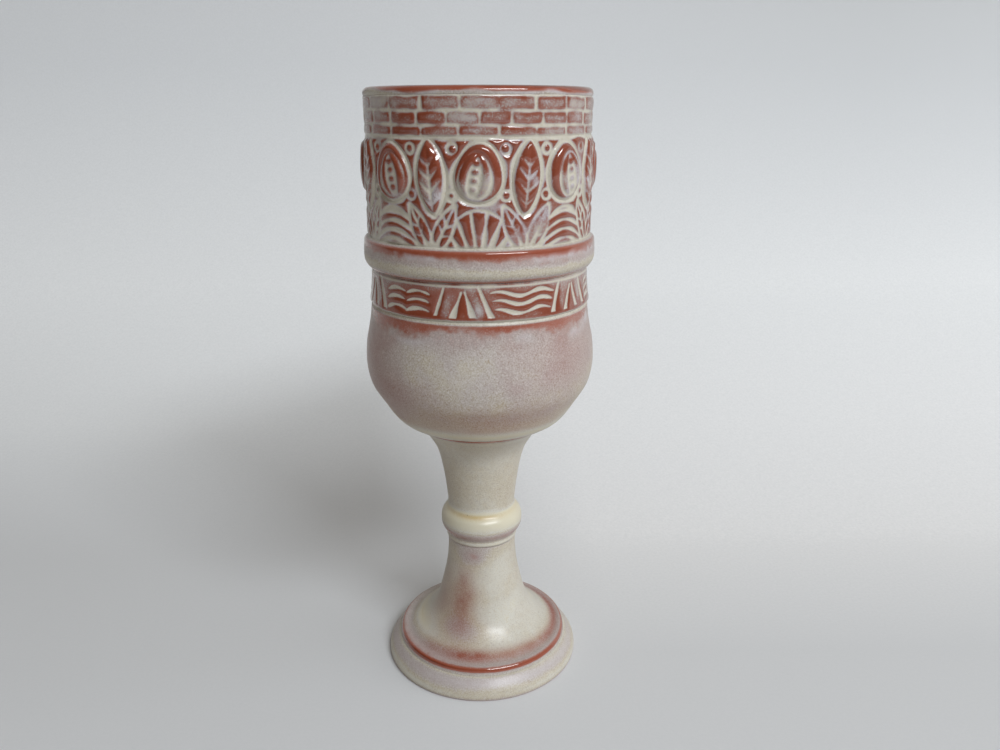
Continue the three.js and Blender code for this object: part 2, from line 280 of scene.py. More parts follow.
def srgb(red, green, blue):
    """Turn a colour of 0 to 255 into the linear values that a shader takes."""
    values = []
    for value in (red, green, blue):
        part = value / 255.0
        values.append(part / 12.92 if part <= 0.04045 else ((part + 0.055) / 1.055) ** 2.4)
    return (*values, 1.0)


def mixed(factor, first, second):
    """Mix two colours, by the numbered sockets that the mix node has for them."""
    sockets = {0: factor, 6: first, 7: second}
    return add_node(factor.id_data, "Mix", sockets, data_type="RGBA").outputs[2]


def ramp(value, tones):
    """Return the colour that a row of stops, each a position and a colour, gives a value."""
    made = add_node(value.id_data, "ValToRGB", {"Fac": value})
    stops = made.color_ramp.elements
    while len(stops) < len(tones):
        stops.new(0.5)
    for stop, (position, colour) in zip(stops, tones):
        stop.position = position
        stop.color = srgb(*colour)
    return made.outputs["Color"]


def attribute(tree, name):
    return add_node(tree, "Attribute", {}, attribute_name=name).outputs["Fac"]


def object_place(tree):
    return add_node(tree, "TexCoord", {}).outputs["Object"]


def new_material(name):
    material = bpy.data.materials.new(name)
    material.use_nodes = True
    material.node_tree.nodes.clear()
    return material, material.node_tree


def end_material(tree, surface):
    """Give a material its shader, with the surface's settings, and its output."""
    shader = add_node(tree, "BsdfPrincipled", surface)
    add_node(tree, "OutputMaterial", {"Surface": shader.outputs["BSDF"]})


# Materials

GLAZE_COLOURS = (
    (0.00, (88, 36, 22)),  # clay in a crease
    (0.09, (150, 72, 48)),  # rust, where the glaze is thin
    (0.22, (158, 85, 64)),
    (0.34, (165, 120, 109)),  # mauve
    (0.46, (180, 166, 164)),  # lilac grey
    (0.60, (190, 182, 177)),
    (0.74, (198, 190, 170)),  # tan
    (0.86, (208, 206, 197)),  # cream
    (0.95, (217, 211, 189)),
    (1.00, (200, 172, 112)),  # ochre, in the deepest pool
)
DARK_GRAIN = srgb(138, 104, 88)
PALE_GRAIN = srgb(228, 225, 222)
RUST_STAIN = srgb(146, 78, 60)
LILAC_WASH = srgb(204, 199, 206)
PINHOLE = srgb(116, 82, 62)
# painted shade: the relief's thin glaze is darkened towards this tone for its self-shadow; partly a darker
# glaze
PAINTED_SHADE_RUST = srgb(70, 38, 28)
DARK_CLAY = srgb(104, 46, 30)
PALE_CLAY = srgb(148, 78, 54)
CLOUD_SIZE = 2.8
HOLE_PITCH = 3.4
GRAIN_REACH = 0.22  # noise value at which a grain is full


def broken_level(tree, fine, cloud, shift):
    """Return the glaze's thickness, broken up by grain and clouds, and how clearly grains show in it."""
    thickness = attribute(tree, "glaze")
    pool = remap(thickness, 0.8, 0.94, 1.0, 0.08)
    strength = times(remap(thickness, 0.1, 0.36, 0.35, 1.0), pool)
    veil = times(remap(thickness, 0.12, 0.42, 0.0, 1.0), pool)
    drift = maths("ADD", times(fine, strength, shift), times(cloud, strength, 0.22))
    level = maths("ADD", thickness, drift)
    level = maths("MINIMUM", level, maths("MAXIMUM", thickness, 0.92))
    level = maths("MAXIMUM", level, maths("MINIMUM", thickness, 0.12))
    return level, veil


def stained(tree, colour, fine, cloud):
    """Tint a colour by the stain at each point, raggedly."""
    ragged = maths("ADD", times(maths("ADD", fine, cloud), 0.8), 1.0)
    rust = times(attribute(tree, "stain"), ragged)
    wash = times(rust, ragged, -1.0)
    colour = mixed(rust, colour, RUST_STAIN)
    return mixed(wash, colour, LILAC_WASH)


def pinholes(tree, place):
    """Return 1 in rare tiny holes and 0 beside them."""
    cells = {"Vector": place, "Scale": 1.0 / (HOLE_PITCH * MM)}
    gap = add_node(tree, "TexVoronoi", cells).outputs["Distance"]
    rare = maths("GREATER_THAN", noise(place, 2.3, 0.0), 0.1)
    return times(remap(gap, 0.04, 0.09, 1.0, 0.0), rare)


def glaze_look(name, slot_name, grain_size, grain, shift, shade, rough, coat):
    """A glaze that breaks from rust through lilac to cream by its thickness, with grain and pinholes.

    Shade, rough and coat are pairs: for thin glaze and for thick.
    """
    material, tree = new_material(name)
    place = object_place(tree)
    fine = noise(place, grain_size, 2.5)
    cloud = noise(place, CLOUD_SIZE, 3.0)
    level, veil = broken_level(tree, fine, cloud, shift)
    colour = ramp(level, GLAZE_COLOURS)
    for reach, tone in ((GRAIN_REACH, DARK_GRAIN), (-GRAIN_REACH, PALE_GRAIN)):
        shown = times(remap(fine, 0.0, reach, 0.0, grain), veil)
        colour = mixed(shown, colour, tone)
    colour = stained(tree, colour, fine, cloud)
    hole = pinholes(tree, place)
    colour = mixed(times(hole, 0.5), colour, PINHOLE)
    # painted shade: mix towards deep rust by the shade pair, most where the glaze is thin
    colour = mixed(remap(level, 0.25, 0.7, *shade), colour, PAINTED_SHADE_RUST)
    matt = remap(level, 0.1, 0.5, *rough)
    roughness = maths("SUBTRACT", matt, remap(level, 0.65, 0.92, 0.0, 0.09))
    height = maths("SUBTRACT", times(fine, 0.35), hole)
    bump = add_node(tree, "Bump", {"Height": height, "Strength": 0.12, "Distance": 0.1 * MM})
    end_material(tree, {
        "Base Color": colour, "Roughness": roughness, "Normal": bump.outputs["Normal"], "IOR": 1.5,
        "Coat Weight": remap(level, 0.2, 0.5, *coat), "Coat Roughness": 0.05,
    })
    return material, slot_name


def clay_material():
    """Fired red clay, dry and sandy."""
    material, tree = new_material("bare_clay_look")
    sand = noise(object_place(tree), 0.5, 4.0)
    blend = remap(sand, -0.2, 0.2, 0.0, 1.0)
    colour = mixed(blend, DARK_CLAY, PALE_CLAY)
    bump = add_node(tree, "Bump", {"Height": sand, "Strength": 0.5, "Distance": 0.15 * MM})
    end_material(tree, {"Base Color": colour, "Roughness": 0.75, "Normal": bump.outputs["Normal"]})
    return material


# The drum's bands

def band_grid(node):
    """Return a band's edges, levels, distances round the drum, and the radius of its face."""
    low, high = span(node)
    low, high = low - BAND_GAP / 2, high + BAND_GAP / 2
    z = np.linspace(low, high, int(round((high - low) / ROW_STEP)) + 1)[:, None]
    across = (np.arange(AROUND) / AROUND - 0.5)[None, :] * GIRTH
    face, low_roll, high_roll = BANDS[node][:3]
    for near, (width, depth) in ((z - low, low_roll), (high - z, high_roll)):
        face = face - depth * np.clip(1.0 - near / width, 0.0, 1.3) ** 2
    return low, high, z, across, face


def break_glaze(face, carving, base):
    """Return the glaze on a carved face: thin on edges, upper ones most, and thick in hollows."""
    clay = face + carving
    near_spread, near_gain = NEAR_BREAK
    far_spread, far_gain = FAR_BREAK
    rows = int(round(FLOW / ROW_STEP))
    far = drum_blur(clay, far_spread)
    far = np.vstack([far[rows:], np.repeat(far[-1:], rows, axis=0)])
    edges = near_gain * (drum_blur(clay, near_spread) - clay) + far_gain * (far - clay)
    return base + SINK_GAIN * np.maximum(-carving, 0.0) + edges


def settle(face, carving, glaze):
    """Return the glazed surface's radius: softened clay, with pools in its hollows."""
    pool = POOL_FILL * smooth(0.6, 0.95, glaze) * smooth(0.0, 0.4, -carving)
    return face + drum_blur(carving + pool, CLAY_SOFTNESS)


def back_seam(across):
    """Return the shallow groove where a wrapped strip's ends meet."""
    gap = np.abs(from_centre(across, GIRTH / 2))
    return -SEAM_DEPTH * raised(gap - SEAM_HALF, 0.3)


def sided(across, angle, spread):
    """Return a soft upright zone on the drum, centred at an angle in degrees."""
    return hill(np.degrees(across / DRUM_RADIUS) - angle, spread)


def band_piece(node, look, radius, z, glaze, stain):
    """Make a band's piece, with a plain back. Two bands run to one radius at their joint."""
    for edge, joint in zip((z[0], z[-1]), BANDS[node][3:]):
        if joint:
            blend = hill(z - edge, JOINT_SPREAD)
            radius = radius * (1.0 - blend) + joint * blend
    back, thick, blank = (np.full((1, AROUND), value) for value in (BAND_BACK, THICKEST, 0.0))
    radius = np.vstack([back, radius, back])
    z = np.vstack([z[:1], z, z[-1:]])
    glaze = np.vstack([thick, np.clip(glaze, THINNEST, THICKEST), thick])
    stain = np.vstack([blank, stain, blank])
    skin(node, look, radius, z, glaze, stain)


# Waves and chevrons

PANELS = 6
PANEL_PITCH = GIRTH / PANELS
CHEVRON_ANGLE = -8.2  # of the first chevron
CHEVRON_STROKES = (  # foot, head, and half width at each
    ((-9.4, 1.6), (-6.5, 11.0), 0.85, 0.22),
    ((-3.4, 1.6), (-0.5, 9.6), 0.85, 0.2),
    ((3.4, 1.4), (0.7, 9.8), 0.9, 0.2),
    ((9.4, 1.5), (5.3, 11.4), 0.95, 0.25),
)
STROKE_FOOT = 1.7  # where the chevron strokes are cut flat
WAVE_LEVELS = (8.9, 6.15, 3.2)
WAVE_HALF = 0.68
WAVE_SEED = 40  # of the first panel
ARC_PLACES = (-4.9, 4.5)  # middles of the two arcs of a broken wave
CUT_DEPTH = 0.8


def wave_lines(u, v, seed):
    """Return the signed distance to a panel's waves. With an odd seed, each breaks into two arcs."""
    rng = np.random.default_rng(seed)
    nearest = FAR
    for level in WAVE_LEVELS:
        phase = rng.uniform(-0.5, 0.5)
        if seed % 2:
            pieces = []
            for place in ARC_PLACES:
                along = u - place - phase
                curve = level + 0.55 + 0.02 * along - (0.045 + 0.02 * phase) * along ** 2
                pieces.append((along, curve, 4.7 + 0.6 * phase))
        else:
            swell = 0.8 * np.sin(TURN * u / 15.5 + 5.1 + 0.5 * phase)
            pieces = [(u, level + 0.3 + swell, 9.6 + 0.25 * level + 0.6 * phase)]
        for along, curve, reach in pieces:
            half = WAVE_HALF * np.clip(1.0 - (np.abs(along) / reach) ** 3, 0.0, 1.0) ** 0.6
            half = half - 0.14 * (1.0 + np.sin(along * 0.55 + 3.0 * phase))
            outside = np.maximum(np.abs(along) - reach, 0.0)
            nearest = np.minimum(nearest, np.hypot(v - curve, outside) - half)
    return nearest


def wave_pattern(across, v):
    """Return the signed distance to the cut lines, and the lilac between the chevrons' strokes."""
    cut, lilac = FAR, 0.0
    first = math.radians(CHEVRON_ANGLE) * DRUM_RADIUS
    for panel in range(PANELS):
        u = from_centre(across, first + panel * PANEL_PITCH)
        for line in CHEVRON_STROKES:
            cut = np.minimum(cut, np.maximum(stroke(u, v, *line), STROKE_FOOT - v))
        for middle in (-5.0, 5.0):
            lilac = lilac + hill(u - middle, 1.9) * hill(v - 5.0, 3.4)
        shifted = from_centre(across, first + (panel + 0.5) * PANEL_PITCH)
        cut = np.minimum(cut, wave_lines(shifted, v, WAVE_SEED + panel))
    return cut, lilac


def wave_band(look):
    """The strip of waves and chevrons on the bowl's shoulder."""
    low, high, z, across, face = band_grid("wave_band")
    face = face + 1.05 * (1.0 - (z - low) / (high - low)) ** 1.8
    cut, lilac = wave_pattern(across, z - low)
    wobble = 0.12 * flecks(z, 1.6, 1.2, 3)
    carving = -CUT_DEPTH * raised(cut + wobble, 0.34) + back_seam(across)
    carving = carving + 0.04 * flecks(z, 3.0, 2.0, 4)
    patches = 0.1 * flecks(z, 4.5, 3.0, 5) + 0.06 * flecks(z, 1.6, 1.2, 6)
    edges = 0.8 * hill(z - low, 0.62) + 0.7 * hill(z - high + 0.9, 0.33)
    glaze = break_glaze(face, carving, 0.33 + 0.26 * lilac + patches) + edges
    stain = -0.4 * np.clip(lilac, 0.0, 1.0) * smooth(-0.3, 0.8, flecks(z, 1.2, 1.2, 7))
    band_piece("wave_band", look, settle(face, carving, glaze), z, glaze, stain)


def collar_ring(look):
    """The plain raised ring, rust on its shoulder and cream below."""
    low, high, z, _, face = band_grid("collar_ring")
    face = face + 0.25 * (1.0 - ((z - low - 4.5) / 6.5) ** 2)
    drip = 0.2 * flecks(z, 5.0, 60.0, 11) + 0.22 * flecks(z, 0.7, 0.6, 12)
    depth = high - z + drip
    edges = 0.8 * hill(high - z, 0.6) - 0.75 * hill(z - low, 1.5)
    glaze = 0.13 + 0.33 * smooth(1.6, 4.6, depth) + 0.32 * smooth(4.8, 7.6, depth) + edges
    glaze = glaze + 0.03 * flecks(z, 6.0, 2.0, 13) * smooth(2.5, 5.0, depth)
    stain = -0.4 * hill(depth - 3.6, 1.1) * smooth(-0.8, 1.0, flecks(z, 3.0, 1.0, 15))
    surface = face + 0.06 * flecks(z, 9.0, 3.0, 14)
    band_piece("collar_ring", look, surface, z, glaze, stain)


# Bricks

COURSES = (  # height, number of bricks, shift along the course in bricks, and extra glaze
    (2.85, 20, 0.5, 0.0),
    (3.5, 24, 0.0, -0.04),
    (3.75, 20, 0.5, 0.02),
)
MORTAR_WIDTH = 0.8
MORTAR_DEPTH = 0.6
FLOODS = (  # where glaze lies deeper: strength, angle, level above the floor, half width and half height
    (0.2, -11.0, 212.5, 6.5, 4.0),
    (0.14, -26.0, 216.5, 8.0, 2.6),
)


def courses(z, across):
    """Return how far inside a brick each point lies, and each brick's own extra glaze."""
    inside, tone = -FAR, 0.0
    rng = np.random.default_rng(21)
    wave = 0.16 * flecks(z, 6.0, 40.0, 22)
    bottom = span("brick_band")[0]
    for height, bricks, shift, course_tone in COURSES:
        rise = height / 2 - np.abs(z - bottom - height / 2 + wave)
        pitch = GIRTH / bricks
        for brick in range(bricks):
            centre = GIRTH / 2 + (brick + shift + 0.5) * pitch + rng.uniform(-0.4, 0.4)
            half = (pitch - MORTAR_WIDTH) / 2 + rng.uniform(-0.12, 0.2)
            reach = half - np.abs(from_centre(across, centre))
            corner = np.minimum(reach, rise)
            round_off = 0.18 * np.exp(-((reach - 0.3) ** 2 + (rise - 0.3) ** 2) / 0.5)
            inside = np.maximum(inside, corner - round_off)
            tone = tone + (course_tone + rng.uniform(-0.06, 0.06)) * (corner > 0)
        bottom += height + MORTAR_WIDTH
    return inside, tone


def flood(z, across):
    """Return the extra glaze of the soft round patches where it lies deeper."""
    total = 0.0
    for strength, angle, level, half_across, half_up in FLOODS:
        u = from_centre(across, math.radians(angle) * DRUM_RADIUS)
        total = total + strength * hill(u, half_across) * hill(z - level, half_up)
    return total


def brick_band(look):
    """Three courses of bricks under the lip."""
    low, high, z, across, face = band_grid("brick_band")
    inside, tone = courses(z, across)
    mortar = 1.0 - smooth(-0.42, 0.12, inside + 0.15 * flecks(z, 1.3, 1.0, 23))
    carving = back_seam(across) - MORTAR_DEPTH * mortar + 0.05 * flecks(z, 3.5, 1.6, 24)
    middle = smooth(0.35, 1.15, inside + 0.22 * flecks(z, 1.4, 0.9, 27))
    base = 0.345 + 0.12 * middle + drum_blur(tone, 0.5) + flood(z, across)
    # paler on the left: thicker glaze, partly a painted reflection
    base = base + 0.12 * sided(across, *LEFT_VEIL_AND_SHEEN)
    base = base + 0.06 * flecks(z, 5.0, 2.5, 25) + 0.05 * flecks(z, 1.0, 0.8, 26)
    edges = 0.1 * hill(z - high, 0.6) + 0.6 * hill(z - low, 0.5)
    glaze = drum_blur(break_glaze(face, carving, base), GLAZE_SOFTNESS) + edges
    stain = -0.25 * middle * smooth(-0.2, 1.2, flecks(z, 2.0, 0.8, 28))
    band_piece("brick_band", look, settle(face, carving, glaze), z, glaze, stain)


# The frieze: pods and leaves over a low border of blades, ribs and fans

SPRIG_PAIRS = 8
SPRIG_PITCH = GIRTH / SPRIG_PAIRS
SPRIG_CHANNEL = 1.1  # widths of the channels round the sprigs, the border and the berries
BORDER_CHANNEL = 0.85
BERRY_CHANNEL = 0.7
GROUND_SINK = 0.85  # depth of the channels
PANEL_TOP = 32.8
POD_WIDTH = 15.0
POD_HEIGHT = 18.0
POD_LEAN = 7.0
POD_TAPER = 0.18
POD_SEEDS = 4
SEED_PITCH = 2.65
LEAF_WIDTH = 9.5
LEAF_HEIGHT = 23.0
LEAF_LEAN = 5.0
LEAF_POINT = 0.8
LEAF_VEINS = 4
VEIN_PITCH = 4.0
SPROUT_FOOT = (1.5, 0.4)
SPROUT_TIP = (7.7, 13.0)
SPROUT_HALF = 2.6
SPROUT_VEINS = (  # root and tip
    ((3.1, 3.6), (5.6, 3.9)),
    ((4.5, 6.4), (6.9, 7.2)),
    ((3.6, 4.6), (2.6, 7.4)),
    ((5.0, 7.4), (4.2, 9.8)),
)
MOUND_TOP = 11.6
MOUND_FALL = 0.06
RIB_PITCH = 2.9
RIB_HALF = 0.95
FAN_TURN = 0.25  # between two leaves of the fan
FAN_FOOT = 9.0  # how far below the band the fan's leaves meet
BERRY_RADIUS = 1.15
BERRIES = ((8.6, 16.4), (8.3, 30.4))  # round from the pod's middle, and up from the band's lower edge


def leaned(u, v, lean):
    cos, sin = math.cos(math.radians(lean)), math.sin(math.radians(lean))
    return u * cos + v * sin, v * cos - u * sin


def true_distance(field):
    """Turn a field that is 0 on an outline into a signed distance near it."""
    up, across = np.gradient(field, ROW_STEP, COLUMN_STEP)
    return field / np.maximum(np.hypot(up, across), 0.02)


def pod_relief(u, v, side):
    """Return the signed distance, the height and the glaze of a pod: a husk round a seeded body."""
    u, v = leaned(u, v, side * POD_LEAN)
    u = side * u
    w = v / (POD_HEIGHT / 2)
    out = np.hypot(w, u / (POD_WIDTH / 2) / (1.0 - POD_TAPER * np.clip(w, -1.2, 1.2)))
    distance = true_distance(out - 1.0)
    dome = 1.0 - np.clip(out, 0.0, 1.0) ** 3
    core = (np.hypot((v + 1.0) / 7.0, (u - 1.1) / (5.0 - 0.12 * v)) - 1.0) * 5.2
    husk_edge = raised(np.abs(core) - 0.42, 0.36) * raised(distance + 0.7, 0.5)
    seeds = 0.0
    for seed in range(POD_SEEDS):
        gap = np.hypot((u - 1.3 + 0.1 * seed) / 1.25, v + 5.0 - SEED_PITCH * seed)
        seeds = np.maximum(seeds, raised(gap - 0.95, 0.35))
    slit = raised(blade(u, v, (1.4, -6.6), (0.8, 5.6), 2.3), 0.4)
    height = GROUND_SINK + 0.7 + dome - 0.75 * np.maximum(husk_edge, slit) + 0.62 * seeds * slit
    body = raised(distance + 0.35, 0.45)
    tone = body * (0.2 * raised(core, 0.9) - 0.12 * raised(-core, 0.6) + 0.22 * smooth(3.0, -7.0, v))
    return distance, body * height, tone


def leaf_relief(u, v, side):
    """Return the signed distance, the height and the glaze of a leaf with a midrib and veins."""
    u, v = leaned(u, v, side * LEAF_LEAN)
    half, half_width = LEAF_HEIGHT / 2, LEAF_WIDTH / 2
    room = np.clip(1.0 - (v / half) ** 2, 0.01, 1.0)
    slope = 2.0 * LEAF_POINT * np.abs(v) * half_width / half ** 2 * room ** (LEAF_POINT - 1.0)
    beside = (np.abs(u) - half_width * room ** LEAF_POINT) / np.hypot(1.0, slope)
    distance = np.where(np.abs(v) < half, beside, np.hypot(u, np.abs(v) - half))
    dome = 0.6 * (1.0 - np.clip(1.0 + distance / half_width, 0.0, 1.0) ** 3)
    cut = stroke(u, v, (0.0, -12.0), (0.0, 9.4), 0.5, 0.2)
    for vein in range(LEAF_VEINS):
        root = -8.4 + VEIN_PITCH * vein
        cut = np.minimum(cut, stroke(np.abs(u), v, (0.0, root), (3.4, root + 3.4), 0.42, 0.12))
    height = GROUND_SINK + 0.5 + dome - 0.6 * raised(cut, 0.34)
    body = raised(distance + 0.35, 0.45)
    return distance, body * height, body * (0.22 * smooth(6.0, -8.0, v) - 0.06)


def sprout(u, v):
    """Return signed distances to a pair of blades from one foot: with veins cut, and whole."""
    side = np.abs(u)
    whole = np.maximum(blade(side, v, SPROUT_FOOT, SPROUT_TIP, SPROUT_HALF), 0.4 - side)
    cut = stroke(side, v, SPROUT_FOOT, SPROUT_TIP, 0.5, 0.15)
    for root, tip in SPROUT_VEINS:
        cut = np.minimum(cut, stroke(side, v, root, tip, 0.32, 0.12))
    return np.maximum(whole, -cut), whole


def ribs(u, v):
    """Return the signed distance to a mound of curved ribs."""
    level = v + 0.04 * u * u
    return np.abs((level + 0.9) % RIB_PITCH - RIB_PITCH / 2) - RIB_HALF


def fan(u, v):
    """Return the signed distance to upright leaves that spread as a fan."""
    turn = np.arctan2(u, v + FAN_FOOT)
    reach = np.hypot(u, v + FAN_FOOT)
    part = (turn / FAN_TURN + 0.5) % 1.0 - 0.5
    return np.abs(part) * FAN_TURN * reach - (FAN_TURN / 2 * reach - 0.5)


def border_distance(across, v):
    """Return signed distances to the border's shapes, negative inside them, and to its skyline."""
    nearest = skyline = FAR
    for pair in range(SPRIG_PAIRS):
        leaf_u = from_centre(across, (pair + 0.5) * SPRIG_PITCH)
        near = np.abs(leaf_u) <= SPRIG_PITCH / 2 + COLUMN_STEP
        carved, blades = sprout(leaf_u, v)
        nearest = np.minimum(nearest, carved)
        skyline = np.minimum(skyline, blades)
        for side in (pair, pair + 1):
            pod_u = from_centre(across, side * SPRIG_PITCH)
            field = ribs(pod_u, v) if side % 2 else fan(pod_u, v)
            top = v - MOUND_TOP + MOUND_FALL * pod_u * pod_u
            limit = np.maximum(np.abs(pod_u) - SPRIG_PITCH / 2, top)
            field = np.maximum(np.maximum(field, limit), BORDER_CHANNEL - blades)
            nearest = np.where(near, np.minimum(nearest, field), nearest)
            skyline = np.where(near, np.minimum(skyline, limit), skyline)
    return nearest, skyline


def berry_distance(across, v):
    """Return the signed distance to the berries on both sides of each pod."""
    nearest = FAR
    for pair in range(SPRIG_PAIRS):
        u = np.abs(from_centre(across, pair * SPRIG_PITCH))
        for along, up in BERRIES:
            nearest = np.minimum(nearest, np.hypot(u - along, v - up) - BERRY_RADIUS)
    return nearest


def sprig_fields(across, z):
    """Return each sprig's node and height, and the signed distance and extra glaze of them all."""
    sprigs = []
    gap, tone = FAR, 0.0
    for place in range(2 * SPRIG_PAIRS):
        kind, relief = (("pod", pod_relief), ("leaf", leaf_relief))[place % 2]
        node = f"{kind}_sprig_{place // 2 + 1}"
        side = 1.0 if (place // 2) % 2 else -1.0
        u, v = np.meshgrid(from_centre(across, place / 2 * SPRIG_PITCH), z - sum(span(node)) / 2)
        distance, height, sprig_tone = relief(u, v, side)
        gap = np.minimum(gap, distance)
        tone = tone + sprig_tone
        sprigs.append((node, height))
    return sprigs, gap, tone


def frieze_shapes(across, v, gap):
    """Return the signed distance to the ground's raised shapes: border, berries and plain panel."""
    shapes, skyline = border_distance(across, v)
    berry = berry_distance(across, v)
    panel = np.maximum(SPRIG_CHANNEL - gap, BORDER_CHANNEL - np.minimum(skyline, berry))
    panel = np.maximum(panel, v - PANEL_TOP)
    nearest = np.minimum(np.maximum(shapes, SPRIG_CHANNEL - gap), panel)
    nearest = np.minimum(nearest, np.maximum(berry, BERRY_CHANNEL - gap))
    return nearest + 0.22 * flecks(v, 2.2, 2.0, 31)


def frieze(look):
    """The frieze's ground and border, and the sprigs that stand on it."""
    low, high, z, across, face = band_grid("frieze_band")
    v = z - low
    sprigs, gap, tone = sprig_fields(across, z)
    nearest = frieze_shapes(across, v, gap)
    ground = GROUND_SINK * (raised(nearest, 0.36) - 1.0) + 0.3 * smooth(0.0, 2.0, -nearest)
    ground = ground + back_seam(across) + 0.04 * flecks(z, 3.0, 3.0, 32)
    stack = sum(height for _, height in sprigs)
    lifted = smooth(0.0, 0.5, stack)
    carving = ground * (1.0 - lifted) - GROUND_SINK * lifted + stack
    base = 0.395 + tone + 0.08 * smooth(0.5, 2.0, -nearest) * (1.0 - lifted) + 0.05 * smooth(7.0, 1.5, v)
    # paler on the left: thicker glaze, partly a painted reflection
    base = base + 0.12 * sided(across, *LEFT_VEIL_AND_SHEEN) - 0.08 * sided(across, *RIGHT_WEAR)
    base = base + 0.1 * flecks(z, 5.0, 5.0, 33) + 0.14 * flecks(z, 1.8, 1.8, 34)
    base = base + 0.6 * hill(v, 1.05) + 0.4 * hill(high - z, 0.5)
    glaze = np.clip(drum_blur(break_glaze(face, carving, base), GLAZE_SOFTNESS), THINNEST, THICKEST)
    wash = smooth(-0.2, 1.2, flecks(z, 2.0, 2.0, 35))
    stain = -0.65 * wash * smooth(0.85, 0.6, glaze) * smooth(0.08, 0.3, glaze)
    full = settle(face, carving, glaze)
    bare = np.minimum(full, settle(face, np.minimum(ground, carving), glaze))
    band_piece("frieze_band", look, bare, z, glaze, stain)
    for node, height in sprigs:
        mask = drum_blur((height > 0.02).astype(float), 0.3) > 0.02
        patch(node, look, mask, full, z, glaze, stain)


# Turned pieces: an outline's points are a radius, a height above the node's lowest level, and glaze

STEM_BORE = 8.0
CUP_BASE = ((0.6, -0.25, 0.5), (25.1, -0.25, 0.18))
CUP_BOWL = (
    (25.1, -0.25, 0.18), (26.1, -0.08, 0.18), (27.2, 0.22, 0.2), (28.6, 0.75, 0.22), (30.4, 1.8, 0.86),
    (32.4, 3.6, 0.95), (34.4, 6.25, 0.82), (36.4, 9.45, 0.72), (38.5, 12.7, 0.67), (40.4, 16.0, 0.66),
    (41.6, 20.0, 0.65), (42.15, 24.5, 0.64), (42.05, 28.5, 0.62), (41.6, 32.8, 0.6), (40.75, 36.8, 0.56),
    (39.95, 41.0, 0.5), (39.6, 44.0, 0.46), (39.45, 45.5, 0.4),
)
CUP_SHOULDER = (
    (39.45, 45.5, 0.4), (39.3, 45.95, 0.78), (39.1, 46.35, 0.84), (39.05, 46.7, 0.84), (37.4, 46.8, 0.84),
)
CUP_DRUM = ((37.4, 46.8, 0.9), (37.4, 116.65, 0.9))
CUP_LIP = (
    (37.4, 116.65, 0.5), (38.9, 116.75, 0.4), (39.2, 117.4, 0.28), (39.15, 118.3, 0.06),
    (38.5, 119.15, 0.05), (37.2, 119.55, 0.07), (35.8, 119.2, 0.1), (34.9, 118.2, 0.15),
    (34.6, 116.6, 0.25),
)
CUP_INSIDE = (
    (34.6, 116.6, 0.25), (34.6, 112.0, 0.42), (34.6, 100.0, 0.6), (34.6, 70.0, 0.68), (34.7, 59.2, 0.7),
    (36.2, 45.0, 0.7), (37.7, 33.0, 0.7), (38.0, 25.2, 0.7), (37.2, 18.5, 0.72), (34.0, 12.4, 0.76),
    (27.5, 8.2, 0.8), (16.0, 6.3, 0.85), (0.6, 6.0, 0.9),
)
STEM_OUTSIDE = (
    (12.95, 0.0, 0.8), (13.0, 1.4, 0.8), (13.07, 2.8, 0.79), (13.4, 6.0, 0.78), (13.85, 10.0, 0.77),
    (14.5, 14.2, 0.78), (15.25, 18.2, 0.79), (16.2, 22.2, 0.8), (17.55, 26.0, 0.81), (19.4, 29.2, 0.81),
    (22.0, 32.8, 0.82), (23.9, 34.4, 0.8), (24.5, 34.95, 0.5), (24.9, 35.4, 0.26), (25.3, 35.85, 0.2),
    (25.65, 36.5, 0.18),
)
KNOP_OUTSIDE = (
    (13.42, 0.0, 0.58), (13.78, 0.35, 0.76), (13.98, 0.95, 0.88), (13.98, 1.7, 0.87), (14.02, 2.25, 0.7),
    (14.3, 2.8, 0.52), (14.8, 3.5, 0.43), (15.35, 4.4, 0.37), (15.78, 5.5, 0.38), (15.95, 6.4, 0.58),
    (16.0, 7.2, 0.84), (15.97, 8.2, 0.92), (15.8, 9.4, 0.94), (15.45, 10.5, 0.945), (14.95, 11.3, 0.95),
    (14.35, 12.0, 0.962), (13.8, 12.65, 0.984), (13.5, 13.2, 0.986), (13.3, 13.9, 0.955),
    (13.18, 14.7, 0.86), (13.12, 15.5, 0.81), (13.11, 16.2, 0.8),
)
PEDESTAL_STEP = (
    (34.0, -0.6, 0.6), (33.82, -0.1, 0.6), (33.78, 0.35, 0.45), (33.7, 0.85, 0.1), (33.58, 1.3, 0.055),
    (33.35, 1.75, 0.07), (32.95, 2.1, 0.24), (32.3, 2.32, 0.46), (31.0, 2.35, 0.52), (29.9, 2.6, 0.54),
    (28.9, 3.2, 0.6), (27.9, 3.95, 0.68), (26.6, 4.9, 0.8), (25.0, 6.0, 0.85), (22.6, 8.2, 0.87),
    (20.2, 11.0, 0.86), (18.2, 14.6, 0.84), (16.7, 19.2, 0.84), (15.5, 24.2, 0.82), (14.6, 28.2, 0.81),
    (13.9, 32.4, 0.8), (13.5, 36.6, 0.79), (13.35, 40.0, 0.77), (13.4, 42.3, 0.7), (13.36, 42.9, 0.58),
)
PEDESTAL_BELL = (
    (STEM_BORE, 42.4, 0.0), (STEM_BORE, 23.2, 0.0), (10.5, 15.0, 0.0), (16.0, 7.2, 0.0), (25.0, 0.0, 0.0),
)
FOOT_UNDER = ((25.0, 8.2, 0.3), (25.0, 1.2, 0.5))
FOOT_RECESS = ((25.0, 1.2, 0.5), (30.9, 1.2, 0.4))
FOOT_RING = ((30.9, 1.2, 0.4), (31.6, 0.8, 0.1), (31.9, 0.0, 0.0))
FOOT_STAND = ((31.9, 0.0, 0.0), (38.0, 0.0, 0.0))
FOOT_BRIM = (
    (38.0, 0.0, 0.0), (38.38, 0.5, 0.5), (38.55, 1.5, 0.78), (38.35, 2.6, 0.84), (37.8, 3.9, 0.78),
    (37.1, 4.95, 0.64), (36.3, 5.95, 0.56), (35.5, 6.85, 0.56), (34.8, 7.55, 0.6), (34.2, 7.95, 0.78),
    (33.2, 8.2, 0.8),
)


